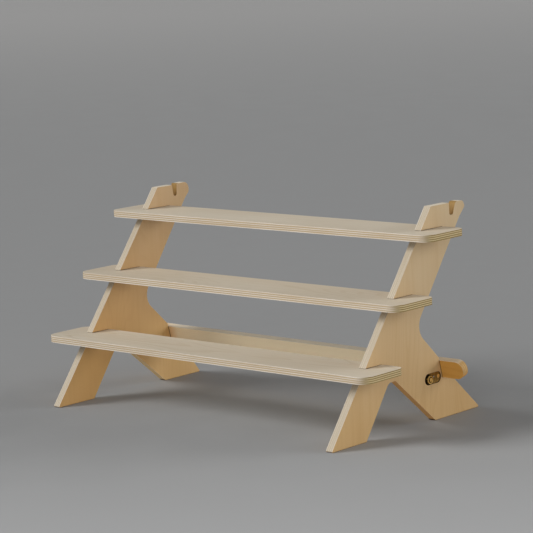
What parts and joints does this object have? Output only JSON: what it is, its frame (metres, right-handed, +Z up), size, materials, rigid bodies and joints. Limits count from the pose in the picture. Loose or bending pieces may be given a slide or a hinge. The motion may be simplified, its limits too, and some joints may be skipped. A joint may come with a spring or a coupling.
{
  "type": "paint rack organizer",
  "caption": "Free-standing plywood tabletop rack for model paints, with plain stepped shelves half-lapped into slanting, splayed-leg side panels and a bolted rear stretcher.",
  "frame": {"origin": "on the standing surface, under the centre of the bounding box", "axes": "+X along the shelves to the right seen from the front, +Y to the back, +Z up"},
  "size_m": [0.5, 0.2669, 0.2473],
  "materials": {
    "shelf_ply": "clear matt birch plywood",
    "panel_ply": "clear matt birch plywood",
    "stretcher_ply": "clear matt birch plywood",
    "liner_brass": "aged satin",
    "fitting_brass": "turned, lightly worn",
    "bolt_steel": "zinc plated",
    "washer_steel": "zinc plated"
  },
  "bodies": {
    "frame": {"left_side_panel": "panel_ply", "right_side_panel": "panel_ply", "left_pocket_liner": "liner_brass", "right_pocket_liner": "liner_brass", "left_barrel_guide": "fitting_brass", "right_barrel_guide": "fitting_brass", "left_cover_plate": "liner_brass", "right_cover_plate": "liner_brass", "left_plate_screw": "bolt_steel", "right_plate_screw": "bolt_steel"},
    "bottom_shelf": {"bottom_shelf": "shelf_ply"},
    "middle_shelf": {"middle_shelf": "shelf_ply"},
    "top_shelf": {"top_shelf": "shelf_ply"},
    "stretcher": {"rear_stretcher": "stretcher_ply", "left_hanger_bolt": "bolt_steel", "right_hanger_bolt": "bolt_steel"},
    "left_washer": {"left_washer": "washer_steel"},
    "left_thumb_screw": {"left_thumb_screw": "fitting_brass"},
    "right_washer": {"right_washer": "washer_steel"},
    "right_thumb_screw": {"right_thumb_screw": "fitting_brass"}
  },
  "joints": [
    {"name": "bottom_shelf_slide", "type": "slide", "parent": "frame", "child": "bottom_shelf", "axis": [0, -1, 0], "range_m": [0, 0.06]},
    {"name": "middle_shelf_slide", "type": "slide", "parent": "frame", "child": "middle_shelf", "axis": [0, -1, 0], "range_m": [0, 0.06]},
    {"name": "top_shelf_slide", "type": "slide", "parent": "frame", "child": "top_shelf", "axis": [0, -1, 0], "range_m": [0, 0.06]},
    {"name": "stretcher_slide", "type": "slide", "parent": "frame", "child": "stretcher", "axis": [0, 0.9703, 0.2419], "range_m": [0, 0.035]},
    {"name": "left_screw_travel", "type": "slide", "parent": "frame", "child": "left_washer", "axis": [-1, 0, 0], "range_m": [0, 0.00135]},
    {"name": "left_screw_turn", "type": "hinge", "parent": "left_washer", "child": "left_thumb_screw", "pos_m": [-0.2175, 0.0443, 0.0484], "axis": [-1, 0, 0], "range_deg": [0, 1080]},
    {"name": "right_screw_travel", "type": "slide", "parent": "frame", "child": "right_washer", "axis": [1, 0, 0], "range_m": [0, 0.00135]},
    {"name": "right_screw_turn", "type": "hinge", "parent": "right_washer", "child": "right_thumb_screw", "pos_m": [0.2175, 0.0443, 0.0484], "axis": [1, 0, 0], "range_deg": [0, 1080]}
  ],
  "couplings": [
    {"joint": "left_screw_turn", "follows": "left_screw_travel", "rad_per_m": 13963},
    {"joint": "right_screw_turn", "follows": "right_screw_travel", "rad_per_m": 13963}
  ]
}
